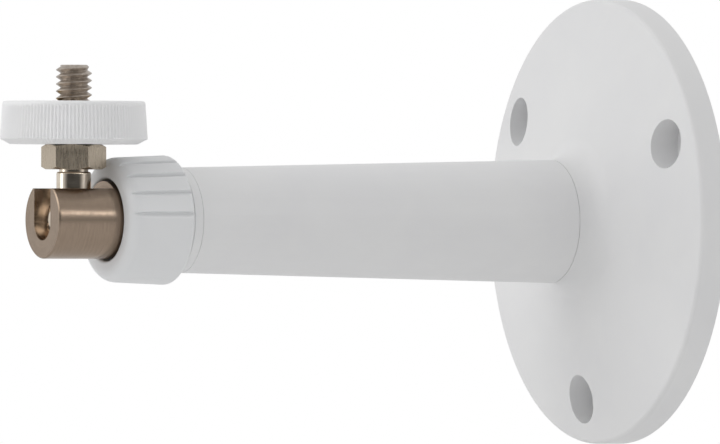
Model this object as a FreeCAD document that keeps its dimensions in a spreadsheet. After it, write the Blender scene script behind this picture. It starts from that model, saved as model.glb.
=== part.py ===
import FreeCAD, Part
import math
import os
import re
import Sketcher

# A wall bracket for a small camera: a round flange, a tapered arm, and a ball swivel in a slotted
# barrel, locked by a fluted collar. A 1/4"-20 screw with a jam nut and a thumbwheel takes the camera.
#
# The origin is the centre of the flange's back face, on the wall. +Z is up, and the arm points
# along -Y. "Station" is the distance from the wall, "radius" the distance from a piece's own axis,
# and "height" the distance from the ball's centre along the stud. Millimetres and degrees.

DRIVING_SIZES = {
    # wall flange
    "flange_radius": 40.0,
    "rim_height": 5.1,
    "rim_edge_radius": 0.8,
    "face_slope": 9.3,
    "root_fillet": 4.8,
    "seam_land": 0.08,
    "web_thickness": 2.6,
    "boss_wall": 3.1,
    # the holes for the wall screws, and the recesses for their heads
    "screw_count": 3,
    "bolt_circle_radius": 32.1,
    "first_screw_angle": 25.7,
    "screw_hole_radius": 2.25,
    "screw_recess_radius": 4.4,
    "screw_recess_floor": 1.7,
    # the hollows moulded into the flange's back, between its ribs
    "core_count": 6,
    "core_inner_radius": 13.0,
    "core_width": 10.0,
    "core_depth": 3.0,
    "rib_angle": 9.0,
    # arm
    "arm_root_radius": 11.08,
    "arm_tip_radius": 9.38,
    "arm_length": 74.95,
    "arm_tip_wall": 2.35,
    "bore_step": 1.0,
    # the keys that stop the arm and the nose from turning in their sockets
    "key_width": 2.0,
    "key_height": 0.8,
    # tie bolt, its washers and its insert
    "bolt_radius": 2.5,
    "bolt_head_radius": 4.5,
    "bolt_head_height": 3.0,
    "bolt_head_sink": 1.0,
    "bolt_end_gap": 1.0,
    "hex_socket_flats": 3.0,
    "hex_socket_depth": 1.8,
    "head_recess_radius": 6.4,
    "tie_washer_radius": 5.3,
    "tie_washer_thickness": 1.0,
    "lock_washer_radius": 4.6,
    "lock_washer_thickness": 1.2,
    "lock_washer_split": 12.0,
    "insert_radius": 3.6,
    "insert_length": 7.5,
    "insert_groove_depth": 0.3,
    # nose
    "nose_tail_length": 9.0,
    "nose_ring_length": 1.6,
    "nose_shoulder": 0.28,
    "nose_floor_thickness": 1.8,
    "nose_cup_radius": 6.3,
    # locking collar
    "collar_front_radius": 11.0,
    "collar_rear_radius": 11.55,
    "collar_length": 12.35,
    "collar_lip": 2.0,
    "collar_front_rounding": 1.2,
    "collar_rear_rounding": 0.8,
    "mouth_gap": 0.4,
    "mouth_rounding": 0.5,
    "tighten_travel": 0.5,
    "collar_spare_travel": 0.5,
    # the collar's grip: two groups of flutes
    "flute_count": 5,
    "flute_half_width": 0.45,
    "flute_pitch_angle": 20.0,
    "first_flute_angle": 6.5,
    # thrust washer
    "thrust_washer_thickness": 0.8,
    # barrel, ball and pressure pad: the barrel's flat lies above its axis, the slot's floor below
    "barrel_radius": 6.9,
    "barrel_reach": 12.35,
    "barrel_edge": 0.25,
    "barrel_flange_thickness": 1.6,
    "stud_setback": 6.2,
    "barrel_flat_height": 5.55,
    "barrel_flat_gap": 0.3,
    "slot_floor_drop": 0.45,
    "ball_radius": 4.9,
    "bore_margin": 0.15,
    "stem_radius": 2.4,
    "stem_depth": 5.7,
    "pad_tail_radius": 2.8,
    # disc springs behind the pad
    "disc_count": 6,
    "disc_radius": 4.6,
    "disc_thickness": 0.4,
    "disc_rise": 0.35,
    # stud
    "neck_radius": 3.07,
    "neck_edge": 0.35,
    "neck_height": 8.5,
    "relief_radius": 2.6,
    "relief_height": 0.43,
    "thread_radius": 3.175,
    "thread_reach": 6.4,
    "thread_tip_edge": 0.85,
    "thread_start_groove": 0.7,
    # jam nut
    "nut_flats": 10.0,
    "nut_height": 4.4,
    "nut_chamfer_angle": 30.0,
    # thumbwheel and its bush
    "wheel_height": 7.65,
    "wheel_top_radius": 12.65,
    "wheel_rim_radius": 13.1,
    "wheel_edge_radius": 0.5,
    "wheel_bevel_width": 1.8,
    "wheel_bevel_height": 0.95,
    "bush_radius": 5.0,
    "bush_inset": 0.2,
    # clearances
    "push_clearance": 0.05,
    "turning_clearance": 0.05,
    "thread_clearance": 0.03,
    "collar_clearance": 0.1,
    "sliding_clearance": 0.3,
    "slot_clearance": 0.13,
    "wall_clearance": 0.15,
}

WORKED_OUT_SIZES = {
    # stations along the arm, from the wall
    "root_corner_station": "rim_height + (flange_radius - arm_root_radius) * tan(face_slope * 1deg)",
    "arm_root_station": "root_corner_station + root_fillet * tan((90 - face_slope) / 2 * 1deg) + seam_land",
    "head_recess_depth": "bolt_head_sink + bolt_head_height + lock_washer_thickness + tie_washer_thickness",
    "spigot_station": "head_recess_depth + web_thickness + push_clearance",
    "arm_tip_station": "arm_root_station + arm_length",
    "nose_tail_station": "arm_tip_station - nose_tail_length",
    "insert_station": "nose_tail_station + insert_length",
    "bolt_tip_station": "insert_station + bolt_end_gap",
    "ring_front_station": "arm_tip_station + nose_ring_length",
    "nose_floor_station": "bolt_tip_station + bolt_end_gap + nose_floor_thickness",
    "collar_rear_station": "ring_front_station + tighten_travel + collar_spare_travel",
    "collar_front_station": "collar_rear_station + collar_length",
    "lip_back_station": "collar_front_station - collar_lip",
    "washer_front_station": "lip_back_station - turning_clearance",
    "washer_back_station": "washer_front_station - thrust_washer_thickness",
    "barrel_shoulder_station": "washer_back_station - turning_clearance",
    "barrel_back_station": "barrel_shoulder_station - barrel_flange_thickness",
    "nose_front_station": "barrel_back_station - tighten_travel - wall_clearance",
    "barrel_tip_station": "collar_front_station + barrel_reach",
    "ball_station": "barrel_tip_station - stud_setback",
    "pad_front_station": "ball_station - neck_radius - sliding_clearance",
    "disc_pitch": "disc_thickness + disc_rise + push_clearance",
    "pad_shoulder_station": "nose_floor_station + push_clearance + disc_count * disc_pitch",
    "pad_tail_station": "nose_floor_station + tighten_travel + wall_clearance",
    # radii that follow from a neighbour's
    "spigot_radius": "arm_root_radius - boss_wall",
    "nose_tail_radius": "arm_tip_radius - arm_tip_wall",
    "arm_bore_radius": "nose_tail_radius - bore_step",
    "mouth_radius": "barrel_radius + mouth_gap",
    "nose_thread_radius": "arm_tip_radius - nose_shoulder",
    "collar_bore_radius": "nose_thread_radius + collar_clearance",
    "washer_bore_radius": "barrel_radius + wall_clearance",
    "washer_radius": "collar_bore_radius - wall_clearance",
    "barrel_flange_radius": "collar_bore_radius - wall_clearance",
    "barrel_bore_radius": "ball_radius + bore_margin",
    "seat_radius": "ball_radius + turning_clearance",
    "pad_radius": "barrel_bore_radius - sliding_clearance",
    "slot_radius": "neck_radius + slot_clearance",
    # heights along the stud, from the ball's centre
    "ball_flat_height": "sqrt(ball_radius * ball_radius - neck_radius * neck_radius)",
    "thread_foot_height": "neck_height + relief_height",
    "nut_top_height": "thread_foot_height + nut_height",
    "wheel_foot_height": "nut_top_height + turning_clearance",
    "wheel_top_height": "wheel_foot_height + wheel_height",
    "thread_tip_height": "wheel_top_height + thread_reach",
    "nut_corner_radius": "nut_flats / 2 / cos(30deg)",
}

CUT_MARGIN = 1.0  # how far a cutting shape runs past the face that it opens

doc = FreeCAD.newDocument("camera_wall_bracket")
sheet = doc.addObject("Spreadsheet::Sheet", "Sizes")


def fill_sheet():
    rows = dict(DRIVING_SIZES)
    rows.update({name: "=" + formula for name, formula in WORKED_OUT_SIZES.items()})
    for row, (name, content) in enumerate(rows.items(), start=1):
        sheet.set(f"A{row}", name)
        sheet.set(f"B{row}", str(content))
        sheet.setAlias(f"B{row}", name)
    doc.recompute()


def value(formula):
    """The number that a formula of sizes gives."""
    return float(sheet.evalExpression(formula))


def drive(thing, target, formula):
    """Binds a property or a constraint of an object to a formula of sizes."""
    thing.setExpression(target, re.sub(r"[a-z]+(_[a-z]+)+", r"Sizes.\g<0>", formula))


# ---------------------------------------------------------------- bodies and where they stand

def new_body(label):
    body = doc.addObject("PartDesign::Body", label)
    body.Label = label
    return body


def lay_on_arm_axis(body):
    """The body's own Z becomes the arm's axis, pointing away from the wall, and its own Y points up."""
    body.Placement = FreeCAD.Placement(FreeCAD.Vector(), FreeCAD.Rotation(FreeCAD.Vector(1, 0, 0), 90))
    return body


def stand_on_ball(body):
    """The body's own origin is the ball's centre, and its own Z points up."""
    drive(body, "Placement.Base.y", "-ball_station")
    return body


# ---------------------------------------------------------------- features

def origin_feature(body, role):
    return next(feature for feature in body.Origin.OriginFeatures if feature.Role == role)


def outline(body, name, points, plane="XZ_Plane", height=None):
    """A closed outline of straight lines. Each corner is a pair of formulas."""
    sketch = body.newObject("Sketcher::SketchObject", name)
    sketch.AttachmentSupport = [(origin_feature(body, plane), "")]
    sketch.MapMode = "FlatFace"
    if height is not None:
        drive(sketch, "AttachmentOffset.Base.z", height)
    corners = [FreeCAD.Vector(value(x), value(y), 0) for x, y in points]
    for index, corner in enumerate(corners):
        following = corners[(index + 1) % len(corners)]
        sketch.addGeometry(Part.LineSegment(corner, following), False)
    for index in range(len(corners)):
        following = (index + 1) % len(corners)
        sketch.addConstraint(Sketcher.Constraint("Coincident", index, 2, following, 1))
    for index, (corner, formulas) in enumerate(zip(corners, points)):
        for kind, length, formula in zip(("DistanceX", "DistanceY"), corner, formulas):
            number = sketch.addConstraint(Sketcher.Constraint(kind, -1, 1, index, 1, length))
            if "_" in formula:
                drive(sketch, f"Constraints[{number}]", formula)
    return sketch


def turn(body, name, points, kind="Revolution", angle="360"):
    """Turns an outline of (radius, station) corners about the body's own Z: solid, or a cut."""
    sketch = outline(body, name + "_outline", points)
    feature = body.newObject("PartDesign::" + kind, name)
    feature.Profile = sketch
    feature.ReferenceAxis = (sketch, ["V_Axis"])
    drive(feature, "Angle", angle)
    return feature


def place(body, feature, position, turned=None):
    """Puts a primitive in its body, by formulas for its X, Y and Z."""
    feature.AttachmentSupport = [(origin_feature(body, "XY_Plane"), "")]
    feature.MapMode = "FlatFace"
    if turned is not None:
        feature.AttachmentOffset = FreeCAD.Placement(FreeCAD.Vector(), turned)
    for axis, formula in zip("xyz", position):
        drive(feature, f"AttachmentOffset.Base.{axis}", formula)
    return feature


def cylinder(body, name, radius, height, position, kind="Subtractive", turned=None):
    feature = body.newObject(f"PartDesign::{kind}Cylinder", name)
    drive(feature, "Radius", radius)
    drive(feature, "Height", height)
    return place(body, feature, position, turned)


def block(body, name, sizes, position, kind="Subtractive", turned=None):
    feature = body.newObject(f"PartDesign::{kind}Box", name)
    for side, formula in zip(("Length", "Width", "Height"), sizes):
        drive(feature, side, formula)
    return place(body, feature, position, turned)


def ball(body, name, radius, position, kind="Subtractive"):
    feature = body.newObject(f"PartDesign::{kind}Sphere", name)
    drive(feature, "Radius", radius)
    return place(body, feature, position)


def repeat_round(body, name, originals, count, angle="360"):
    """Repeats features about the body's own Z."""
    pattern = body.newObject("PartDesign::PolarPattern", name)
    pattern.Originals = originals
    pattern.Axis = (origin_feature(body, "Z_Axis"), [""])
    drive(pattern, "Angle", angle)
    drive(pattern, "Occurrences", count)
    body.Tip = pattern
    return pattern


def round_edges(body, name, radius, circles):
    """Rounds the whole circles that lie at the given (radius, station) pairs."""
    doc.recompute()
    wanted = [(value(r), value(station)) for r, station in circles]
    edges = []
    for number, edge in enumerate(body.Tip.Shape.Edges, start=1):
        curve = edge.Curve
        if not isinstance(curve, Part.Circle) or math.hypot(curve.Center.x, curve.Center.y) > 1e-6:
            continue
        if any(math.isclose(curve.Radius, r) and abs(curve.Center.z - z) < 1e-6 for r, z in wanted):
            edges.append(f"Edge{number}")
    if len(edges) != len(circles):
        raise RuntimeError(f"{name}: {len(edges)} edges found for {len(circles)} circles")
    base = body.Tip
    feature = body.newObject("PartDesign::Fillet", name)
    feature.Base = (base, edges)
    drive(feature, "Radius", radius)
    return feature


def add_key(body, name, radius, start, length):
    """A key rib on top of a spigot of this radius."""
    return block(
        body, name, ("key_width", f"{radius} + key_height", length),
        ("-key_width / 2", "0", start), kind="Additive",
    )


def cut_keyway(body, name, radius, start, length):
    """The slot that takes a key rib, in the socket round a spigot of this radius."""
    return block(
        body, name,
        ("key_width + 2 * push_clearance", f"{radius} + key_height + push_clearance", length),
        ("-key_width / 2 - push_clearance", "0", start),
    )


# ---------------------------------------------------------------- flange and arm

def make_wall_flange():
    """A low moulded cone with a filleted boss. The arm's spigot sits in the boss."""
    body = lay_on_arm_axis(new_body("wall_flange"))
    turn(body, "disc", [
        ("bolt_radius + sliding_clearance", "head_recess_depth"),
        ("head_recess_radius", "head_recess_depth"),
        ("head_recess_radius", "0"),
        ("flange_radius", "0"),
        ("flange_radius", "rim_height"),
        ("arm_root_radius", "root_corner_station"),
        ("arm_root_radius", "arm_root_station"),
        ("spigot_radius + push_clearance", "arm_root_station"),
        ("spigot_radius + push_clearance", "spigot_station - push_clearance"),
        ("bolt_radius + sliding_clearance", "spigot_station - push_clearance"),
    ])
    round_edges(body, "root_rounding", "root_fillet", [("arm_root_radius", "root_corner_station")])
    round_edges(body, "rim_rounding", "rim_edge_radius", [("flange_radius", "rim_height")])
    cut_keyway(body, "arm_keyway", "spigot_radius", "spigot_station - push_clearance",
               "arm_root_station - spigot_station + push_clearance")
    across = "bolt_circle_radius * cos(first_screw_angle * 1deg)"
    up = "bolt_circle_radius * sin(first_screw_angle * 1deg)"
    hole = cylinder(body, "screw_hole", "screw_hole_radius",
                    f"screw_recess_floor + {2 * CUT_MARGIN}", (across, up, f"-{CUT_MARGIN}"))
    recess = cylinder(body, "screw_recess", "screw_recess_radius", "root_corner_station",
                      (across, up, "screw_recess_floor"))
    repeat_round(body, "screw_holes", [hole, recess], "screw_count")
    core_outer_radius = "core_inner_radius + core_width"
    core = turn(body, "back_core", [
        ("core_inner_radius", "0"),
        (core_outer_radius, "0"),
        (core_outer_radius, "core_depth"),
        ("core_inner_radius", "core_depth"),
    ], kind="Groove", angle="360 / core_count - rib_angle")
    repeat_round(body, "back_cores", [core], "core_count")
    return body


def make_arm_tube():
    """The tapered arm: a spigot for the flange at its root, and a socket for the nose at its tip."""
    body = lay_on_arm_axis(new_body("arm_tube"))
    turn(body, "taper", [
        ("arm_bore_radius", "spigot_station"),
        ("spigot_radius", "spigot_station"),
        ("spigot_radius", "arm_root_station"),
        ("arm_root_radius", "arm_root_station"),
        ("arm_tip_radius", "arm_tip_station"),
        ("nose_tail_radius + push_clearance", "arm_tip_station"),
        ("nose_tail_radius + push_clearance", "nose_tail_station - push_clearance"),
        ("arm_bore_radius", "nose_tail_station - push_clearance"),
    ])
    spigot_length = "arm_root_station - spigot_station"
    add_key(body, "spigot_key", "spigot_radius", "spigot_station", spigot_length)
    cylinder(body, "spigot_bore", "arm_bore_radius", spigot_length, ("0", "0", "spigot_station"))
    cut_keyway(body, "nose_keyway", "nose_tail_radius", "nose_tail_station - push_clearance",
               "nose_tail_length + push_clearance")
    return body


def make_tie_bolt():
    """The long bolt through the hollow arm. Its head lies in the flange's back, with a hex socket."""
    body = lay_on_arm_axis(new_body("tie_bolt"))
    shank_radius = "bolt_radius - thread_clearance"
    head_top = "bolt_head_sink + bolt_head_height"
    turn(body, "shank", [
        ("0", "bolt_head_sink"),
        ("bolt_head_radius - bolt_head_height / 3", "bolt_head_sink"),
        ("bolt_head_radius", "bolt_head_sink + bolt_head_height / 2"),
        ("bolt_head_radius", head_top),
        (shank_radius, head_top),
        (shank_radius, "bolt_tip_station - bolt_radius / 4"),
        ("bolt_radius * 3 / 4 - thread_clearance", "bolt_tip_station"),
        ("0", "bolt_tip_station"),
    ])
    socket = body.newObject("PartDesign::SubtractivePrism", "hex_socket")
    socket.Polygon = 6
    drive(socket, "Circumradius", "hex_socket_flats / 2 / cos(30deg)")
    drive(socket, "Height", "hex_socket_depth")
    place(body, socket, ("0", "0", "bolt_head_sink"))
    return body


def make_ring(label, inner, outer, start, end):
    """A plain ring on the arm's axis, such as a washer."""
    body = lay_on_arm_axis(new_body(label))
    turn(body, "ring", [(inner, start), (outer, start), (outer, end), (inner, end)])
    return body


def make_tie_washers():
    """A plain washer on the recess's floor, and a split lock washer under the bolt's head."""
    bore = "bolt_radius + push_clearance"
    split = "bolt_head_sink + bolt_head_height + lock_washer_thickness"
    plain = make_ring("tie_bolt_washer", bore, "tie_washer_radius", split, "head_recess_depth")
    lock = lay_on_arm_axis(new_body("tie_bolt_lock_washer"))
    head_top = "bolt_head_sink + bolt_head_height"
    turn(lock, "ring", [
        (bore, head_top), ("lock_washer_radius", head_top), ("lock_washer_radius", split), (bore, split),
    ], angle="360 - lock_washer_split")
    return [plain, lock]


def make_nose_insert():
    """The metal insert that the tie bolt screws into, with two grooves that hold it in the nose."""
    body = lay_on_arm_axis(new_body("nose_insert"))
    turn(body, "insert", [
        ("bolt_radius", "nose_tail_station"),
        ("insert_radius", "nose_tail_station"),
        ("insert_radius", "insert_station"),
        ("bolt_radius", "insert_station"),
    ])
    for number in (1, 3):
        low = f"nose_tail_station + insert_length * {number} / 5"
        turn(body, f"groove_{number}", [
            ("insert_radius - insert_groove_depth", low),
            ("insert_radius + insert_groove_depth", low),
            ("insert_radius + insert_groove_depth", low + " + insert_length / 5"),
            ("insert_radius - insert_groove_depth", low + " + insert_length / 5"),
        ], kind="Groove")
    return body


# ---------------------------------------------------------------- the clamp

def make_clamp_nose():
    """The arm's nose: a keyed tail in the arm, a ring that shows, the collar's thread and a spring cup."""
    body = lay_on_arm_axis(new_body("clamp_nose"))
    hole_radius = "bolt_radius + sliding_clearance"
    hole_end = "nose_floor_station - nose_floor_thickness"
    turn(body, "nose", [
        ("0", hole_end),
        (hole_radius, hole_end),
        (hole_radius, "insert_station"),
        ("insert_radius", "insert_station"),
        ("insert_radius", "nose_tail_station"),
        ("nose_tail_radius", "nose_tail_station"),
        ("nose_tail_radius", "arm_tip_station"),
        ("arm_tip_radius", "arm_tip_station"),
        ("arm_tip_radius", "ring_front_station"),
        ("nose_thread_radius", "ring_front_station"),
        ("nose_thread_radius", "nose_front_station"),
        ("nose_cup_radius", "nose_front_station"),
        ("nose_cup_radius", "nose_floor_station"),
        ("0", "nose_floor_station"),
    ])
    add_key(body, "tail_key", "nose_tail_radius", "nose_tail_station", "nose_tail_length")
    cylinder(body, "insert_seat", "insert_radius", "insert_length", ("0", "0", "nose_tail_station"))
    cylinder(body, "bolt_end_hole", hole_radius, hole_end + " - insert_station",
             ("0", "0", "insert_station"))
    return body


def make_locking_collar():
    """The fluted ring nut. Its lip pulls the washer and the barrel's flange back on to the nose."""
    body = lay_on_arm_axis(new_body("locking_collar"))
    turn(body, "shell", [
        ("collar_bore_radius", "collar_rear_station"),
        ("collar_rear_radius", "collar_rear_station"),
        ("collar_front_radius", "collar_front_station"),
        ("mouth_radius", "collar_front_station"),
        ("mouth_radius", "lip_back_station"),
        ("collar_bore_radius", "lip_back_station"),
    ])
    round_edges(body, "front_rounding", "collar_front_rounding",
                [("collar_front_radius", "collar_front_station")])
    round_edges(body, "rear_rounding", "collar_rear_rounding",
                [("collar_rear_radius", "collar_rear_station")])
    round_edges(body, "mouth_edge", "mouth_rounding", [("mouth_radius", "collar_front_station")])
    taper = math.atan((value("collar_rear_radius") - value("collar_front_radius")) / value("collar_length"))
    for group in range(2):
        angle = value("first_flute_angle") + 180 * group
        around = FreeCAD.Rotation(FreeCAD.Vector(0, 0, 1), angle)
        lean = FreeCAD.Rotation(FreeCAD.Vector(0, 1, 0), -math.degrees(taper))
        flute = body.newObject("PartDesign::SubtractivePrism", f"flute_{group + 1}")
        flute.Polygon = 4
        drive(flute, "Circumradius", "flute_half_width")
        drive(flute, "Height", f"collar_length + {2 * CUT_MARGIN}")
        turned_by = f"(first_flute_angle + {180 * group}) * 1deg"
        position = (
            f"collar_rear_radius * cos({turned_by})",
            f"collar_rear_radius * sin({turned_by})",
            f"collar_rear_station - {CUT_MARGIN}",
        )
        place(body, flute, position, turned=around.multiply(lean))
        repeat_round(body, f"flutes_{group + 1}", [flute], "flute_count",
                     "flute_pitch_angle * (flute_count - 1)")
    return body


def make_thrust_washer():
    """The hard washer that the collar's lip turns against. It doesn't turn with the collar."""
    return make_ring("thrust_washer", "washer_bore_radius", "washer_radius",
                     "washer_back_station", "washer_front_station")


def make_ball_barrel():
    """The turned barrel, milled flat on top. Its bore holds the ball, and its slot passes the neck."""
    body = lay_on_arm_axis(new_body("ball_barrel"))
    turn(body, "barrel", [
        ("barrel_bore_radius", "barrel_back_station"),
        ("barrel_flange_radius", "barrel_back_station"),
        ("barrel_flange_radius", "barrel_shoulder_station"),
        ("barrel_radius", "barrel_shoulder_station"),
        ("barrel_radius", "barrel_tip_station - barrel_edge"),
        ("barrel_radius - barrel_edge", "barrel_tip_station"),
        ("0", "barrel_tip_station"),
        ("0", "ball_station"),
        ("barrel_bore_radius", "ball_station"),
    ])
    ball(body, "ball_seat", "seat_radius", ("0", "0", "ball_station"))
    past_tip = f"stud_setback + {CUT_MARGIN}"
    past_side = f"barrel_radius + {CUT_MARGIN}"
    upwards = FreeCAD.Rotation(FreeCAD.Vector(1, 0, 0), -90)
    flat_start = "collar_front_station + barrel_flat_gap"
    block(body, "top_flat", ("2 * barrel_radius", past_side, f"barrel_reach + {CUT_MARGIN}"),
          ("-barrel_radius", "barrel_flat_height", flat_start))
    cylinder(body, "slot_floor", "slot_radius", past_tip, ("0", "-slot_floor_drop", "ball_station"))
    cylinder(body, "slot_back", "slot_radius", past_side, ("0", "0", "ball_station"), turned=upwards)
    block(body, "slot", ("2 * slot_radius", past_side, past_tip),
          ("-slot_radius", "-slot_floor_drop", "ball_station"))
    return body


def make_swivel_ball():
    """The ball, bored for the stud's stem, with a flat under the neck."""
    body = stand_on_ball(new_body("swivel_ball"))
    ball(body, "sphere", "ball_radius", ("0", "0", "0"), kind="Additive")
    cylinder(body, "neck_flat", "ball_radius", "ball_radius", ("0", "0", "ball_flat_height"))
    cylinder(body, "stem_bore", "stem_radius + turning_clearance", "stem_depth + turning_clearance + 1",
             ("0", "0", "ball_flat_height - stem_depth - turning_clearance"))
    return body


def make_pressure_pad():
    """The plunger behind the ball, with a round cup for it, a spring shoulder and a tail."""
    body = lay_on_arm_axis(new_body("pressure_pad"))
    turn(body, "plunger", [
        ("0", "pad_tail_station"),
        ("pad_tail_radius", "pad_tail_station"),
        ("pad_tail_radius", "pad_shoulder_station"),
        ("pad_radius", "pad_shoulder_station"),
        ("pad_radius", "pad_front_station"),
        ("0", "pad_front_station"),
    ])
    ball(body, "ball_cup", "seat_radius", ("0", "0", "ball_station"))
    return body


def make_disc_springs():
    """The stack of cone-shaped spring washers behind the pad, set edge to edge in turn."""
    body = lay_on_arm_axis(new_body("disc_springs"))
    body.AllowCompound = True
    inner = "pad_tail_radius + turning_clearance"
    thick = "disc_thickness"
    for number in range(int(value("disc_count"))):
        foot = f"nose_floor_station + push_clearance + {number} * disc_pitch"
        inner_rise, outer_rise = ("disc_rise", "0") if number % 2 == 0 else ("0", "disc_rise")
        turn(body, f"disc_{number + 1}", [
            (inner, f"{foot} + {inner_rise}"),
            ("disc_radius", f"{foot} + {outer_rise}"),
            ("disc_radius", f"{foot} + {outer_rise} + {thick}"),
            (inner, f"{foot} + {inner_rise} + {thick}"),
        ])
    return body


# ---------------------------------------------------------------- the camera screw

def make_threaded_stud():
    """The stem in the ball, the neck, the relief groove and the 1/4"-20 thread at its outer size."""
    body = stand_on_ball(new_body("threaded_stud"))
    stem_foot = "ball_flat_height - stem_depth"
    neck_foot = "ball_flat_height + turning_clearance"
    turn(body, "stud", [
        ("0", stem_foot),
        ("stem_radius", stem_foot),
        ("stem_radius", neck_foot),
        ("neck_radius", neck_foot),
        ("neck_radius", "neck_height - neck_edge"),
        ("neck_radius - neck_edge", "neck_height"),
        ("relief_radius", "neck_height"),
        ("relief_radius", "thread_foot_height"),
        ("thread_radius", "thread_foot_height"),
        ("thread_radius", "thread_tip_height - thread_tip_edge"),
        ("thread_radius - thread_tip_edge", "thread_tip_height"),
        ("0", "thread_tip_height"),
    ])
    # the thread's free end starts at the wheel's top, and a groove inside the wheel marks it off
    turn(body, "free_thread_start", [
        ("relief_radius", "wheel_top_height - thread_start_groove"),
        ("thread_radius + thread_clearance", "wheel_top_height - thread_start_groove"),
        ("thread_radius + thread_clearance", "wheel_top_height"),
        ("relief_radius", "wheel_top_height"),
    ], kind="Groove")
    return body


def make_jam_nut():
    """The hexagonal nut at the foot of the thread, chamfered on both faces."""
    body = stand_on_ball(new_body("jam_nut"))
    hexagon = [
        (f"nut_corner_radius * cos({60 * corner}deg)", f"nut_corner_radius * sin({60 * corner}deg)")
        for corner in range(6)
    ]
    sketch = outline(body, "hexagon", hexagon, plane="XY_Plane", height="thread_foot_height")
    pad = body.newObject("PartDesign::Pad", "blank")
    pad.Profile = sketch
    drive(pad, "Length", "nut_height")
    cylinder(body, "bore", "thread_radius + thread_clearance", f"nut_height + {2 * CUT_MARGIN}",
             ("0", "0", f"thread_foot_height - {CUT_MARGIN}"))
    face_radius = "nut_flats / 2"
    far_radius = f"nut_corner_radius + {CUT_MARGIN}"
    drop = f"(nut_corner_radius + {CUT_MARGIN} - nut_flats / 2) * tan(nut_chamfer_angle * 1deg)"
    for name, face, sign in (("top_chamfer", "nut_top_height", "-"),
                             ("foot_chamfer", "thread_foot_height", "+")):
        turn(body, name, [(face_radius, face), (far_radius, face), (far_radius, f"{face} {sign} {drop}")],
             kind="Groove")
    return body


def make_thumbwheel():
    """The wheel: a knurl band that widens downwards, a rounded top edge and a wide bevel below."""
    body = stand_on_ball(new_body("thumbwheel"))
    bore = "bush_radius + thread_clearance"
    turn(body, "wheel", [
        (bore, "wheel_foot_height"),
        ("wheel_rim_radius - wheel_bevel_width", "wheel_foot_height"),
        ("wheel_rim_radius", "wheel_foot_height + wheel_bevel_height"),
        ("wheel_top_radius", "wheel_top_height"),
        (bore, "wheel_top_height"),
    ])
    round_edges(body, "top_rounding", "wheel_edge_radius", [("wheel_top_radius", "wheel_top_height")])
    return body


def make_thumbwheel_bush():
    """The metal bush in the wheel that runs on the thread."""
    body = stand_on_ball(new_body("thumbwheel_bush"))
    bore = "thread_radius + thread_clearance"
    foot = "wheel_foot_height + bush_inset"
    top = "wheel_top_height - bush_inset"
    turn(body, "bush", [(bore, foot), ("bush_radius", foot), ("bush_radius", top), (bore, top)])
    return body


# ---------------------------------------------------------------- build, check and write

def check(pieces):
    for thing in doc.Objects:
        if "Invalid" in thing.State or "Error" in thing.State:
            raise RuntimeError(f"{thing.Label} is {thing.State}")
    for piece in pieces:
        shape = piece.Shape
        solids = int(value("disc_count")) if piece.Label == "disc_springs" else 1
        if shape.isNull() or not shape.isValid() or len(shape.Solids) != solids:
            raise RuntimeError(f"{piece.Label} doesn't hold its {solids} valid solids")


fill_sheet()
pieces = [
    make_wall_flange(),
    make_arm_tube(),
    make_tie_bolt(),
    *make_tie_washers(),
    make_nose_insert(),
    make_clamp_nose(),
    make_locking_collar(),
    make_thrust_washer(),
    make_ball_barrel(),
    make_swivel_ball(),
    make_pressure_pad(),
    make_disc_springs(),
    make_threaded_stud(),
    make_jam_nut(),
    make_thumbwheel(),
    make_thumbwheel_bush(),
]
doc.recompute()
check(pieces)
os.makedirs("parts", exist_ok=True)
for piece in pieces:
    piece.Shape.exportStep(f"parts/{piece.Label}.step")
    print(f"{piece.Label}: {piece.Shape.Volume:.1f} mm3")
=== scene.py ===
import math

import bmesh
import bpy
from mathutils import Matrix, Quaternion, Vector


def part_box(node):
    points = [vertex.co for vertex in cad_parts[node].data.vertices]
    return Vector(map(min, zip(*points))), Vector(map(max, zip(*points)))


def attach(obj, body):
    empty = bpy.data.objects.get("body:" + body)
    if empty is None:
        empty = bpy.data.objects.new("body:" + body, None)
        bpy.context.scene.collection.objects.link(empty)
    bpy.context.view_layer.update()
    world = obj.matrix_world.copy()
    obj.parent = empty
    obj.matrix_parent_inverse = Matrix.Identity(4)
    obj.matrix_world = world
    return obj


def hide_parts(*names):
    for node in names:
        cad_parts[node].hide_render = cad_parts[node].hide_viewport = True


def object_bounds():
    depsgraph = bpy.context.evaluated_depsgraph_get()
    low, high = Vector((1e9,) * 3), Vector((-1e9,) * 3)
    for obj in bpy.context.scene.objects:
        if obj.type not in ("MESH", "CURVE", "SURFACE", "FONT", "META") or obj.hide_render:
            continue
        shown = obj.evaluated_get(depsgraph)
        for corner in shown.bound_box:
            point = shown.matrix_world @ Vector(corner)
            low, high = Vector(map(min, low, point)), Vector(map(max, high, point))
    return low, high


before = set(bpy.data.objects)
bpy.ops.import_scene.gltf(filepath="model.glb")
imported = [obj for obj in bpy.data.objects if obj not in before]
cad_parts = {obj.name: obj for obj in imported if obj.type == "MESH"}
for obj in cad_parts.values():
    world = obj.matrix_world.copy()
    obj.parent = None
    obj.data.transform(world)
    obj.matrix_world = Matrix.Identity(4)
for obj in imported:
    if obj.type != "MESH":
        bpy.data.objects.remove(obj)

# The looks of a wall bracket for a small camera. The frame gives the flange and the small inner pieces,
# which get their finishes here. The arm, its nose, the barrel and the jam nut are the frame's shapes with
# their sharp edges eased. The thumbwheel, the locking collar and the stud are made again with what the
# frame leaves out: the knurl, the softened flutes and the thread.
# Lengths are in millimetres up to the moment a mesh is made, and MM turns them to metres.

MM = 0.001
cad_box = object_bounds()


def millimetres(corner):
    return corner / MM


# ---- where things are, from the frame ----

ball_low, ball_high = map(millimetres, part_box("swivel_ball"))
wheel_low, wheel_high = map(millimetres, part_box("thumbwheel"))
bush_low, bush_high = map(millimetres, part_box("thumbwheel_bush"))
collar_low, collar_high = map(millimetres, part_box("locking_collar"))
stud_low, stud_high = map(millimetres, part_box("threaded_stud"))

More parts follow.
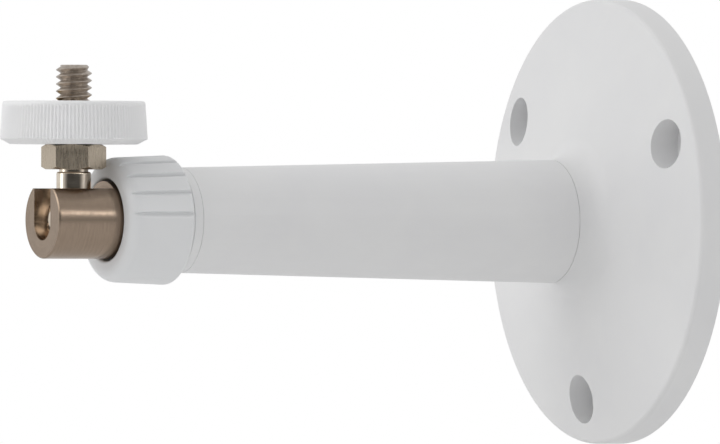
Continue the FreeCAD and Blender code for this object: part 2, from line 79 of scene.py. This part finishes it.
BALL_RADIUS = (ball_high.x - ball_low.x) / 2
ball_centre = Vector((0, (ball_low.y + ball_high.y) / 2, ball_low.z + BALL_RADIUS))

# Heights on the stud and the wheel are counted up from the ball's centre. Stations on the collar are
# counted along the arm, out from the wall.
STUD_FRAME = Matrix.Translation(ball_centre)
ARM_FRAME = Matrix.Rotation(math.radians(90), 4, "X")

# ---- sizes of the pieces made here ----

WHEEL_FOOT = wheel_low.z - ball_centre.z
WHEEL_TOP = wheel_high.z - ball_centre.z
WHEEL_RIM_RADIUS = (wheel_high.x - wheel_low.x) / 2
WHEEL_TOP_RADIUS = 12.65
BUSH_CLEARANCE = 0.05
WHEEL_BORE = (bush_high.x - bush_low.x) / 2 + BUSH_CLEARANCE
WHEEL_BEVEL_WIDTH = 1.8
WHEEL_BEVEL_HEIGHT = 0.95
WHEEL_EDGE = 0.5
BEVEL_FOOT_ROUNDING = 0.15
BEVEL_TOP_ROUNDING = 0.12
RIB_COUNT = 120
STEPS_PER_RIB = 8
RIB_DEPTH = 0.3
# The knurl starts RIB_START under the rounding of the top edge and has its full depth RIB_RUN_OUT lower.
# Its lowest straight row is RIB_FOOT above the bevel, and it ends BEVEL_MARGIN under the bevel's top.
RIB_START = 0.1
RIB_RUN_OUT = 0.5
RIB_FOOT = 0.25
BEVEL_MARGIN = 0.05
# below 1 it widens the valleys and narrows the ribs between them
VALLEY_POWER = 0.8

COLLAR_REAR = -collar_high.y
COLLAR_FRONT = -collar_low.y
COLLAR_REAR_RADIUS = (collar_high.x - collar_low.x) / 2
COLLAR_FRONT_RADIUS = 11.0
COLLAR_BORE = 9.2
COLLAR_LIP = 2.0
MOUTH_RADIUS = 7.3
COLLAR_FRONT_ROUNDING = 2.3
COLLAR_REAR_ROUNDING = 0.8
MOUTH_ROUNDING = 0.5
BORE_ROUNDING = 0.15
COLLAR_STEPS = 240
# the flutes of each of the two groups, with their spacing and the first one's place in degrees
FLUTE_COUNT = 5
FLUTE_PITCH = 20.0
FIRST_FLUTE = 6.5
FLUTE_DEPTH = 0.6
FLUTE_STEEP_SIDE = 0.28
FLUTE_GENTLE_SIDE = 0.85
STEEP_STEPS = 4
GENTLE_STEPS = 6
# columns nearer to each other than this, in radians, become one
CLOSEST_COLUMNS = 0.002

BARREL_EDGE_EASE = 0.18
NUT_EDGE_EASE = 0.15
CASING_EDGE_EASE = 0.2

STUD_STEPS = 96
STEM_RADIUS = 2.4
STEM_EDGE = 0.3
NECK_RADIUS = 3.07
NECK_EDGE = 0.35
NECK_FOOT = 3.82
NECK_TOP = 8.5
RELIEF_RADIUS = 2.6
THREAD_FOOT = 8.93
THREAD_TOP = stud_high.z - ball_centre.z
STEM_FOOT = stud_low.z - ball_centre.z
THREAD_RADIUS = 3.175
THREAD_PITCH = 1.27
# a unified thread's depth follows from its pitch
THREAD_DEPTH = 0.6134 * THREAD_PITCH
THREAD_TIP_EDGE = 0.85
# the height of one crest where the thread faces +X
CREST_HEIGHT = 21.90

# corners nearer to each other than this become one
WELD_DISTANCE = 1e-5
# the same for the frame's meshes, which are in metres
FRAME_WELD_DISTANCE = 1e-7
# in degrees: faces that turn less than the first are one flat, and edges sharper than the second are eased
FLAT_WITHIN = 0.2
EASE_OVER = 35


# ---- colours and nodes ----

def linear(hex_colour):
    """The linear red, green, blue and alpha of an sRGB hex colour."""
    channels = [int(hex_colour[start:start + 2], 16) / 255 for start in (1, 3, 5)]
    return [c / 12.92 if c <= 0.04045 else ((c + 0.055) / 1.055) ** 2.4 for c in channels] + [1.0]


def per_metre(size):
    """The scale that gives a pattern features of that many millimetres."""
    return 1 / (size * MM)


def add(tree, kind, inputs, **settings):
    """Adds a node with its settings, and its inputs by name or place: a value, or a link from a socket."""
    node = tree.nodes.new(kind)
    for name, value in settings.items():
        setattr(node, name, value)
    for socket, value in inputs.items():
        if isinstance(value, bpy.types.NodeSocket):
            tree.links.new(value, node.inputs[socket])
        else:
            node.inputs[socket].default_value = value
    return node


def new_finish(name, shader_values):
    """A material whose shader has those values. Returns it with its tree and the shader's inputs."""
    material = bpy.data.materials.new(name)
    material.use_nodes = True
    shader = material.node_tree.nodes["Principled BSDF"]
    for socket, value in shader_values.items():
        shader.inputs[socket].default_value = value
    return material, material.node_tree, shader.inputs


def between(tree, factor, low, high):
    """A value that runs from low to high as the factor runs over the middle of a noise."""
    return add(tree, "ShaderNodeMapRange", {
        "Value": factor, "From Min": 0.3, "From Max": 0.7, "To Min": low, "To Max": high,
    }).outputs["Result"]


def two_tone(tree, factor, first, second):
    """One colour going over into another by the factor."""
    return add(tree, "ShaderNodeMix", {0: factor, 6: linear(first), 7: linear(second)},
               data_type="RGBA").outputs[2]


def relief(tree, height, depth):
    """The normal of a surface with that height pattern, as deep as that many millimetres."""
    return add(tree, "ShaderNodeBump", {"Height": height, "Distance": depth * MM}).outputs["Normal"]


# ---- finishes ----

def moulded_abs(name, tone, flow_tone, grain, grain_depth, gloss):
    """ABS from a spark-eroded mould. The fine pebble grain keeps its highlights broad and soft, and
    the tone drifts very slightly where the melt flowed."""
    material, tree, shader = new_finish(name, {"IOR": 1.53})
    place = add(tree, "ShaderNodeTexCoord", {}).outputs["Object"]
    flow = add(tree, "ShaderNodeTexNoise", {
        "Vector": place, "Scale": per_metre(18), "Detail": 3.0, "Distortion": 0.6,
    }).outputs["Fac"]
    pebbles = add(tree, "ShaderNodeTexNoise", {
        "Vector": place, "Scale": per_metre(grain), "Detail": 2.0, "Roughness": 0.55,
    }).outputs["Fac"]
    tree.links.new(two_tone(tree, between(tree, flow, 0.0, 1.0), tone, flow_tone), shader["Base Color"])
    tree.links.new(between(tree, pebbles, gloss + 0.05, gloss - 0.05), shader["Roughness"])
    tree.links.new(relief(tree, pebbles, grain_depth), shader["Normal"])
    return material


def turned_nickel(axis_height):
    """Nickel plate over a turned brass barrel. The tool has left fine rings round it and circles on
    its end, so a light becomes one bright line along it, broken up by the rings."""
    material, tree, shader = new_finish("turned_nickel", {"Metallic": 1.0, "Anisotropic": 0.55})
    place = add(tree, "ShaderNodeTexCoord", {}).outputs["Object"]
    parts = add(tree, "ShaderNodeSeparateXYZ", {0: place}).outputs
    up = add(tree, "ShaderNodeMath", {0: parts["Z"], 1: -axis_height * MM}).outputs[0]
    across = add(tree, "ShaderNodeCombineXYZ", {"X": parts["X"], "Z": up}).outputs[0]
    out = add(tree, "ShaderNodeVectorMath", {0: across}, operation="LENGTH").outputs["Value"]
    # the real feed is about 0.1 mm, and it is drawn at 0.3 mm, the finest that shows
    ring_place = add(tree, "ShaderNodeCombineXYZ", {"X": out, "Y": parts["Y"], "Z": 0.0}).outputs[0]
    rings = add(tree, "ShaderNodeTexNoise", {
        "Vector": ring_place, "Scale": per_metre(0.3), "Detail": 3.0, "Roughness": 0.6,
    }).outputs["Fac"]
    stretched = add(tree, "ShaderNodeMapping", {
        "Vector": place, "Scale": (per_metre(2.2), per_metre(0.35), per_metre(2.2)),
    }).outputs[0]
    scratches = add(tree, "ShaderNodeTexNoise", {
        "Vector": stretched, "Scale": 1.0, "Detail": 4.0, "Roughness": 0.65,
    }).outputs["Fac"]
    marks = add(tree, "ShaderNodeMath", {0: rings, 1: scratches}).outputs[0]
    half = add(tree, "ShaderNodeMath", {0: marks, 1: 0.5}, operation="MULTIPLY").outputs[0]
    tint = two_tone(tree, between(tree, half, 0.0, 1.0), "#907F6F", "#A69483")
    tree.links.new(tint, shader["Base Color"])
    tree.links.new(between(tree, half, 0.28, 0.19), shader["Roughness"])
    tree.links.new(relief(tree, half, 0.004), shader["Normal"])
    tangent = add(tree, "ShaderNodeTangent", {}, direction_type="RADIAL", axis="Y").outputs[0]
    tree.links.new(tangent, shader["Tangent"])
    return material


def polished_nickel():
    """Bright nickel plate over polished steel: a mirror with a warm cast and a faint ripple."""
    material, tree, shader = new_finish("polished_nickel", {"Metallic": 1.0})
    place = add(tree, "ShaderNodeTexCoord", {}).outputs["Object"]
    ripple = add(tree, "ShaderNodeTexNoise", {
        "Vector": place, "Scale": per_metre(1.4), "Detail": 3.0,
    }).outputs["Fac"]
    tint = two_tone(tree, between(tree, ripple, 0.0, 1.0), "#D9CBB9", "#E4D9CA")
    tree.links.new(tint, shader["Base Color"])
    tree.links.new(between(tree, ripple, 0.09, 0.15), shader["Roughness"])
    tree.links.new(relief(tree, ripple, 0.003), shader["Normal"])
    return material


def rolled_nickel():
    """Nickel plate over a rolled thread. Its flanks are duller than the neck, and its colour is set
    greyer and darker than the neck's, with a fine mottle."""
    material, tree, shader = new_finish("rolled_nickel", {"Metallic": 1.0})
    place = add(tree, "ShaderNodeTexCoord", {}).outputs["Object"]
    thread_mottle = add(tree, "ShaderNodeTexNoise", {
        "Vector": place, "Scale": per_metre(0.7), "Detail": 4.0, "Roughness": 0.6,
    }).outputs["Fac"]
    # the thread's colour is a mottle between two greys, darker than the neck's nickel
    tint = two_tone(tree, between(tree, thread_mottle, 0.0, 1.0), "#A0968D", "#C2B9AF")
    tree.links.new(tint, shader["Base Color"])
    tree.links.new(between(tree, thread_mottle, 0.42, 0.26), shader["Roughness"])
    tree.links.new(relief(tree, thread_mottle, 0.004), shader["Normal"])
    return material


def drawn_nickel():
    """Nickel plate over a nut cut from drawn hexagon bar: satin flats with fine upright die lines."""
    material, tree, shader = new_finish("drawn_nickel", {"Metallic": 1.0})
    place = add(tree, "ShaderNodeTexCoord", {}).outputs["Object"]
    stretched = add(tree, "ShaderNodeMapping", {
        "Vector": place, "Scale": (per_metre(0.3), per_metre(0.3), per_metre(3)),
    }).outputs[0]
    lines = add(tree, "ShaderNodeTexNoise", {
        "Vector": stretched, "Scale": 1.0, "Detail": 4.0, "Roughness": 0.6,
    }).outputs["Fac"]
    tint = two_tone(tree, between(tree, lines, 0.0, 1.0), "#B9AC9A", "#C3B6A4")
    tree.links.new(tint, shader["Base Color"])
    tree.links.new(between(tree, lines, 0.24, 0.32), shader["Roughness"])
    tree.links.new(relief(tree, lines, 0.0015), shader["Normal"])
    return material


def turned_brass():
    """Plain turned brass, as inserts moulded into plastic are: yellow, with fine cutting rings."""
    material, tree, shader = new_finish("turned_brass", {"Metallic": 1.0})
    place = add(tree, "ShaderNodeTexCoord", {}).outputs["Object"]
    grain = add(tree, "ShaderNodeTexNoise", {
        "Vector": place, "Scale": per_metre(0.35), "Detail": 3.0,
    }).outputs["Fac"]
    tree.links.new(two_tone(tree, grain, "#B08D4A", "#CBAA66"), shader["Base Color"])
    tree.links.new(between(tree, grain, 0.22, 0.36), shader["Roughness"])
    tree.links.new(relief(tree, grain, 0.004), shader["Normal"])
    return material


def zinc_plate():
    """Bright zinc on steel: a cool grey with a faint spangle, dulled by its passivating dip."""
    material, tree, shader = new_finish("zinc_plate", {"Metallic": 1.0})
    place = add(tree, "ShaderNodeTexCoord", {}).outputs["Object"]
    spangle = add(tree, "ShaderNodeTexVoronoi", {
        "Vector": place, "Scale": per_metre(0.8), "Randomness": 1.0,
    }).outputs["Distance"]
    haze = add(tree, "ShaderNodeTexNoise", {
        "Vector": place, "Scale": per_metre(0.4), "Detail": 3.0,
    }).outputs["Fac"]
    tree.links.new(two_tone(tree, spangle, "#A9AEB4", "#C6CACD"), shader["Base Color"])
    tree.links.new(between(tree, haze, 0.28, 0.42), shader["Roughness"])
    tree.links.new(relief(tree, haze, 0.003), shader["Normal"])
    return material


def spring_steel():
    """Blued spring strip, stamped into dished washers: dark grey with a straw and blue bloom."""
    material, tree, shader = new_finish("spring_steel", {"Metallic": 1.0})
    place = add(tree, "ShaderNodeTexCoord", {}).outputs["Object"]
    bloom = add(tree, "ShaderNodeTexNoise", {
        "Vector": place, "Scale": per_metre(2), "Detail": 3.0,
    }).outputs["Fac"]
    tree.links.new(two_tone(tree, bloom, "#5E6066", "#7A7468"), shader["Base Color"])
    tree.links.new(between(tree, bloom, 0.3, 0.45), shader["Roughness"])
    return material


def turned_nylon():
    """Black nylon rod, turned: a waxy dark grey with soft cutting rings."""
    material, tree, shader = new_finish("turned_nylon", {"IOR": 1.53})
    place = add(tree, "ShaderNodeTexCoord", {}).outputs["Object"]
    rings = add(tree, "ShaderNodeTexNoise", {
        "Vector": place, "Scale": per_metre(0.4), "Detail": 2.0,
    }).outputs["Fac"]
    tree.links.new(two_tone(tree, rings, "#1E1E20", "#2C2C2F"), shader["Base Color"])
    tree.links.new(between(tree, rings, 0.4, 0.55), shader["Roughness"])
    tree.links.new(relief(tree, rings, 0.004), shader["Normal"])
    return material


# ---- turned shapes ----

def rounded(corners, arc_steps=6):
    """The outline through (radius, height, rounding) corners, each rounded corner made an arc."""
    outline = []
    for number, (radius, height, rounding) in enumerate(corners):
        corner = Vector((radius, height))
        if not rounding:
            outline.append(corner)
            continue
        back = (Vector(corners[number - 1][:2]) - corner).normalized()
        ahead = (Vector(corners[(number + 1) % len(corners)][:2]) - corner).normalized()
        half_angle = back.angle(ahead) / 2
        centre = corner + (back + ahead).normalized() * rounding / math.sin(half_angle)
        start = (corner + back * rounding / math.tan(half_angle) - centre).normalized()
        end = (corner + ahead * rounding / math.tan(half_angle) - centre).normalized()
        outline += [centre + start.slerp(end, step / arc_steps) * rounding for step in range(arc_steps + 1)]
    return outline


def at(radius, angle, height):
    """The point at that radius and height, that many radians round the axis."""
    return Vector((radius * math.cos(angle), radius * math.sin(angle), height))


def finished_piece(name, shape, place, crease):
    """A piece with that mesh, set in place in metres, smooth except at edges sharper than the crease."""
    bmesh.ops.remove_doubles(shape, verts=shape.verts, dist=WELD_DISTANCE)
    bmesh.ops.recalc_face_normals(shape, faces=shape.faces)
    mesh = bpy.data.meshes.new(name)
    shape.to_mesh(mesh)
    shape.free()
    mesh.transform(Matrix.Scale(MM, 4) @ place)
    mesh.shade_smooth()
    mesh.set_sharp_from_angle(angle=math.radians(crease))
    piece = bpy.data.objects.new(name, mesh)
    bpy.context.scene.collection.objects.link(piece)
    even_normals = piece.modifiers.new("even_normals", "WEIGHTED_NORMAL")
    even_normals.keep_sharp = True
    return piece


def turned(name, outline, angles, place, cut, crease=35):
    """A closed outline turned round its axis through those angles. cut(radius, angle, height) gives
    the radius that is left there."""
    shape = bmesh.new()
    columns = [
        [shape.verts.new(at(cut(r, angle, h), angle, h)) for r, h in outline]
        for angle in angles
    ]
    for column, following in zip(columns, columns[1:] + columns[:1]):
        for row in range(len(outline)):
            shape.faces.new((column[row - 1], column[row], following[row], following[row - 1]))
    return finished_piece(name, shape, place, crease)


def make_thumbwheel():
    """The wheel with its moulded knurl: straight ribs from under the top edge down to the bevel."""
    bevel_top = WHEEL_FOOT + WHEEL_BEVEL_HEIGHT
    outline = rounded([
        (WHEEL_BORE, WHEEL_FOOT, 0),
        (WHEEL_RIM_RADIUS - WHEEL_BEVEL_WIDTH, WHEEL_FOOT, BEVEL_FOOT_ROUNDING),
        (WHEEL_RIM_RADIUS, bevel_top, BEVEL_TOP_ROUNDING),
        (WHEEL_TOP_RADIUS, WHEEL_TOP, WHEEL_EDGE),
        (WHEEL_BORE, WHEEL_TOP, 0),
    ])
    rib_top = WHEEL_TOP - WHEEL_EDGE - RIB_START
    edge_foot = WHEEL_TOP - WHEEL_EDGE
    side = [i for i, point in enumerate(outline) if abs(point.y - edge_foot) < RIB_START][0]
    lean = (WHEEL_RIM_RADIUS - WHEEL_TOP_RADIUS) / (WHEEL_TOP - bevel_top)
    rib_rows = (bevel_top + RIB_FOOT, rib_top - RIB_RUN_OUT, rib_top - RIB_RUN_OUT / 2, rib_top)
    outline[side:side] = [
        Vector((WHEEL_TOP_RADIUS + lean * (WHEEL_TOP - height), height)) for height in rib_rows
    ]

    def knurl(radius, angle, height):
        if radius < WHEEL_TOP_RADIUS - RIB_DEPTH or height < bevel_top - BEVEL_MARGIN:
            return radius
        share = min(1.0, max(0.0, (rib_top - height) / RIB_RUN_OUT))
        valley = 0.5 - 0.5 * math.cos(RIB_COUNT * angle)
        return radius - RIB_DEPTH * share * valley ** VALLEY_POWER

    steps = RIB_COUNT * STEPS_PER_RIB
    angles = [math.tau * step / steps for step in range(steps)]
    wheel = turned("knurled_thumbwheel", outline, angles, STUD_FRAME, knurl)
    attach(wheel, "wheel")
    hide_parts("thumbwheel")
    return wheel


def make_locking_collar():
    """The collar with its flutes: each has one steep side and one gentle side, and runs out through
    the roundings at both ends."""
    lip_back = COLLAR_FRONT - COLLAR_LIP
    outline = rounded([
        (COLLAR_BORE, COLLAR_REAR, BORE_ROUNDING),
        (COLLAR_REAR_RADIUS, COLLAR_REAR, COLLAR_REAR_ROUNDING),
        (COLLAR_FRONT_RADIUS, COLLAR_FRONT, COLLAR_FRONT_ROUNDING),
        (MOUTH_RADIUS, COLLAR_FRONT, MOUTH_ROUNDING),
        (MOUTH_RADIUS, lip_back, 0),
        (COLLAR_BORE, lip_back, 0),
    ], arc_steps=10)
    lean = (COLLAR_REAR_RADIUS - COLLAR_FRONT_RADIUS) / (COLLAR_FRONT - COLLAR_REAR)
    centres = [
        math.radians(FIRST_FLUTE + FLUTE_PITCH * number + half_turn)
        for half_turn in (0, 180)
        for number in range(FLUTE_COUNT)
    ]

    def flute(radius, angle, height):
        across = min((math.remainder(angle - centre, math.tau) for centre in centres), key=abs) * radius
        side = FLUTE_STEEP_SIDE if across > 0 else -FLUTE_GENTLE_SIDE
        share = max(0.0, 1 - across / side)
        wall = COLLAR_REAR_RADIUS - lean * (height - COLLAR_REAR)
        return min(radius, wall - FLUTE_DEPTH * share * share * (3 - 2 * share))

    steep_width = FLUTE_STEEP_SIDE / COLLAR_REAR_RADIUS
    gentle_width = FLUTE_GENTLE_SIDE / COLLAR_REAR_RADIUS
    angles = [math.tau * step / COLLAR_STEPS for step in range(COLLAR_STEPS)]
    for centre in centres:
        angles += [centre + steep_width * step / STEEP_STEPS for step in range(STEEP_STEPS + 1)]
        angles += [centre - gentle_width * step / GENTLE_STEPS for step in range(1, GENTLE_STEPS + 1)]
    angles.sort()
    previous = angles[-1:] + angles[:-1]
    angles = [a for a, before in zip(angles, previous) if abs(a - before) > CLOSEST_COLUMNS]
    collar = turned("fluted_collar", outline, angles, ARM_FRAME, flute, crease=50)
    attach(collar, "collar")
    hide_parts("locking_collar")
    return collar


def thread_rows():
    """One pitch of the thread, from root to root: how far along the pitch each row lies, and its
    radius. The flanks stand at 60 degrees to each other, and rolling has rounded roots and crests."""
    rising = [(0.0, 1.0), (0.05, 0.97), (0.10, 0.89), (0.41, 0.08), (0.45, 0.01)]
    rows = rising + [(0.5, 0.0)] + [(1 - share, depth) for share, depth in reversed(rising[1:])]
    return [(share, THREAD_RADIUS - THREAD_DEPTH * depth) for share, depth in rows]


def make_stud(neck_finish, thread_finish):
    """The stud: its stem in the ball, the neck, the relief and the rolled thread. All up to the relief
    has the neck's finish."""
    foot = rounded([
        (0.0, STEM_FOOT, 0),
        (STEM_RADIUS, STEM_FOOT, STEM_EDGE),
        (STEM_RADIUS, NECK_FOOT, 0),
        (NECK_RADIUS, NECK_FOOT, 0),
        (NECK_RADIUS, NECK_TOP, NECK_EDGE),
        (RELIEF_RADIUS, NECK_TOP, 0),
        (RELIEF_RADIUS, THREAD_FOOT, 0),
    ])
    rows = thread_rows()
    # the spare turns are cut off at the thread's foot and top
    turns = math.ceil((THREAD_TOP - THREAD_FOOT) / THREAD_PITCH) + 3
    start = CREST_HEIGHT - THREAD_PITCH / 2
    start -= THREAD_PITCH * math.ceil((start - THREAD_FOOT) / THREAD_PITCH + 1)
    tip_radius = THREAD_RADIUS - THREAD_TIP_EDGE
    shape = bmesh.new()
    columns = []
    for step in range(STUD_STEPS):
        angle = math.tau * step / STUD_STEPS
        column = [shape.verts.new(at(r, angle, h)) for r, h in foot]
        for turn in range(turns):
            for share, radius in rows:
                height = start + THREAD_PITCH * (turn + share + step / STUD_STEPS)
                if height <= THREAD_FOOT:
                    height, radius = THREAD_FOOT, RELIEF_RADIUS
                height = min(height, THREAD_TOP)
                radius = min(radius, tip_radius + THREAD_TOP - height)
                column.append(shape.verts.new(at(radius, angle, height)))
        columns.append(column)
    for step, column in enumerate(columns):
        following = columns[(step + 1) % STUD_STEPS]
        # past the last step the thread has climbed one pitch
        climb = len(rows) if step == STUD_STEPS - 1 else 0
        for row in range(1, len(column)):
            over = min(row + climb, len(column) - 1) if row >= len(foot) else row
            under = min(row - 1 + climb, len(column) - 1) if row - 1 >= len(foot) else row - 1
            corners = [column[row - 1], column[row], following[over], following[under]]
            shape.faces.new(corners if over != under else corners[:3])
    shape.faces.new([column[-1] for column in columns])
    bmesh.ops.remove_doubles(shape, verts=shape.verts, dist=WELD_DISTANCE)
    bmesh.ops.dissolve_degenerate(shape, edges=shape.edges, dist=WELD_DISTANCE)
    stud = finished_piece("rolled_thread_stud", shape, STUD_FRAME, crease=40)
    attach(stud, "stud")
    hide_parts("threaded_stud")
    stud.data.materials.append(neck_finish)
    stud.data.materials.append(thread_finish)
    thread_foot = (ball_centre.z + THREAD_FOOT) * MM
    for face in stud.data.polygons:
        face.material_index = 1 if face.center.z > thread_foot else 0


def eased_copy(name, node, body, ease, finish):
    """A node's piece as the frame has it, with its sharp edges eased by that many millimetres."""
    shape = bmesh.new()
    shape.from_mesh(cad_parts[node].data)
    bmesh.ops.remove_doubles(shape, verts=shape.verts, dist=FRAME_WELD_DISTANCE)
    bmesh.ops.dissolve_limit(
        shape, angle_limit=math.radians(FLAT_WITHIN), verts=shape.verts, edges=shape.edges)
    mesh = bpy.data.meshes.new(name)
    shape.to_mesh(mesh)
    shape.free()
    mesh.shade_smooth()
    mesh.materials.append(finish)
    piece = bpy.data.objects.new(name, mesh)
    bpy.context.scene.collection.objects.link(piece)
    eased = piece.modifiers.new("eased_edges", "BEVEL")
    eased.width = ease * MM
    eased.segments = 2
    eased.limit_method = "ANGLE"
    eased.angle_limit = math.radians(EASE_OVER)
    even_normals = piece.modifiers.new("even_normals", "WEIGHTED_NORMAL")
    even_normals.keep_sharp = False
    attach(piece, body)
    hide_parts(node)


# ---- studio, in metres and degrees ----

CAMERA_AZIMUTH = 62.3
CAMERA_DISTANCE = 2.883
CAMERA_SIDESTEP = -0.04672
CAMERA_DROP = 0.00021
CAMERA_ROLL = 0.2
# in degrees from the camera's side: all dark up to the first, all white from the second on
DARK_WITHIN = 32
WHITE_BEYOND = 80
FLOOR_DROP = 0.060


def outward(azimuth, elevation):
    """The direction out from the object, in degrees: azimuth 0 is -Y, and 90 is +X."""
    turn, rise = math.radians(azimuth), math.radians(elevation)
    return Vector((math.sin(turn) * math.cos(rise), -math.cos(turn) * math.cos(rise), math.sin(rise)))


def make_camera():
    """A long lens, level with the arm and very slightly rolled, so that the perspective is slight."""
    lens = bpy.data.cameras.new("long_lens")
    lens.lens = 800
    lens.sensor_width = 36
    lens.clip_end = 50
    camera = bpy.data.objects.new("camera", lens)
    back = outward(CAMERA_AZIMUTH, 0)
    sideways = back.cross(Vector((0, 0, -1)))
    camera.location = back * CAMERA_DISTANCE + sideways * CAMERA_SIDESTEP + Vector((0, 0, -CAMERA_DROP))
    camera.rotation_mode = "QUATERNION"
    roll = Quaternion((0, 0, 1), math.radians(CAMERA_ROLL))
    camera.rotation_quaternion = (-back).to_track_quat("-Z", "Y") @ roll
    bpy.context.scene.collection.objects.link(camera)
    bpy.context.scene.camera = camera


def softbox(name, azimuth, elevation, distance, width, height, brightness):
    """A rectangular softbox aimed at the bracket. brightness is that of its face, where white is 1."""
    light = bpy.data.lights.new(name, "AREA")
    light.shape = "RECTANGLE"
    light.size = width
    light.size_y = height
    light.energy = brightness * math.pi * width * height
    box = bpy.data.objects.new(name, light)
    aim = (cad_box[0] + cad_box[1]) / 2
    direction = outward(azimuth, elevation)
    box.location = aim + direction * distance
    box.rotation_mode = "QUATERNION"
    box.rotation_quaternion = direction.to_track_quat("Z", "Y")
    bpy.context.scene.collection.objects.link(box)


def make_world(front, cove, backdrop):
    """A white cove all round, dark only on the side the bracket is looked at from. The eye sees it
    as an even white."""
    world = bpy.data.worlds.new("white_cove")
    world.use_nodes = True
    tree = world.node_tree
    tree.nodes.clear()
    direction = add(tree, "ShaderNodeTexCoord", {}).outputs["Generated"]
    facing = add(tree, "ShaderNodeVectorMath", {0: direction, 1: outward(CAMERA_AZIMUTH, 0)},
                 operation="DOT_PRODUCT").outputs["Value"]
    strength = add(tree, "ShaderNodeMapRange", {
        "Value": facing, "From Min": math.cos(math.radians(WHITE_BEYOND)),
        "From Max": math.cos(math.radians(DARK_WITHIN)), "To Min": cove, "To Max": front,
    }, interpolation_type="SMOOTHSTEP").outputs["Result"]
    studio = add(tree, "ShaderNodeBackground", {"Color": linear("#FFFFFF"), "Strength": strength})
    seen = add(tree, "ShaderNodeBackground", {"Color": linear("#FFFFFF"), "Strength": backdrop})
    eye = add(tree, "ShaderNodeLightPath", {}).outputs["Is Camera Ray"]
    mixed = add(tree, "ShaderNodeMixShader", {0: eye, 1: studio.outputs[0], 2: seen.outputs[0]})
    add(tree, "ShaderNodeOutputWorld", {"Surface": mixed.outputs[0]})
    bpy.context.scene.world = world


def make_floor():
    """A round table top of pale matt laminate, below the bracket."""
    shape = bmesh.new()
    bmesh.ops.create_circle(shape, cap_ends=True, radius=0.7, segments=96)
    mesh = bpy.data.meshes.new("floor")
    shape.to_mesh(mesh)
    shape.free()
    floor = bpy.data.objects.new("floor", mesh)
    floor.location = (0, (cad_box[0].y + cad_box[1].y) / 2, -FLOOR_DROP)
    bpy.context.scene.collection.objects.link(floor)
    material, tree, shader = new_finish("pale_laminate", {"IOR": 1.45, "Roughness": 0.7})
    place = add(tree, "ShaderNodeTexCoord", {}).outputs["Object"]
    mottle = add(tree, "ShaderNodeTexNoise", {"Vector": place, "Scale": per_metre(40)}).outputs["Fac"]
    tree.links.new(two_tone(tree, mottle, "#EDEDED", "#F2F2F2"), shader["Base Color"])
    floor.data.materials.append(material)


# ---- the bracket ----

bpy.context.scene.view_settings.view_transform = "Standard"
make_camera()
make_world(front=0.05, cove=0.8, backdrop=1.0)
softbox("key_softbox", azimuth=8, elevation=34, distance=1.5, width=1.4, height=1.0, brightness=1.6)
softbox("strip_softbox", azimuth=92, elevation=19, distance=1.6, width=2.2, height=0.09, brightness=8.5)
softbox("side_softbox", azimuth=-24, elevation=0, distance=1.5, width=0.5, height=0.8, brightness=1.5)
make_floor()

casing_abs = moulded_abs("casing_abs", "#E6E6E6", "#E2E2E3", grain=0.35, grain_depth=0.006, gloss=0.5)
grip_abs = moulded_abs("grip_abs", "#E4E5E6", "#E1E2E3", grain=0.3, grain_depth=0.004, gloss=0.42)
# the wheel is the collar's grip plastic painted lighter: painted light standing in for the light that falls
# on the wheel
wheel_abs_painted_lighter = moulded_abs("wheel_abs_painted_lighter", "#F3F3F3", "#F0F0F1", grain=0.3, grain_depth=0.002, gloss=0.42)
nickel_mirror = polished_nickel()
brass = turned_brass()
zinc = zinc_plate()

finish_of_node = {
    "wall_flange": casing_abs,
    "swivel_ball": nickel_mirror,
    "thumbwheel_bush": brass,
    "nose_insert": brass,
    "thrust_washer": zinc,
    "tie_bolt": zinc,
    "tie_bolt_washer": zinc,
    "tie_bolt_lock_washer": zinc,
    "pressure_pad": turned_nylon(),
    "disc_springs": spring_steel(),
}
for node_name, finish in finish_of_node.items():
    for material_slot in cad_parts[node_name].material_slots:
        material_slot.material = finish

make_thumbwheel().data.materials.append(wheel_abs_painted_lighter)
make_locking_collar().data.materials.append(grip_abs)
eased_copy("eased_barrel", "ball_barrel", "barrel", BARREL_EDGE_EASE,
           turned_nickel(ball_centre.z))
eased_copy("eased_jam_nut", "jam_nut", "stud", NUT_EDGE_EASE, drawn_nickel())
for node_name in ("arm_tube", "clamp_nose"):
    eased_copy("eased_" + node_name, node_name, "bracket", CASING_EDGE_EASE, casing_abs)
make_stud(nickel_mirror, rolled_nickel())
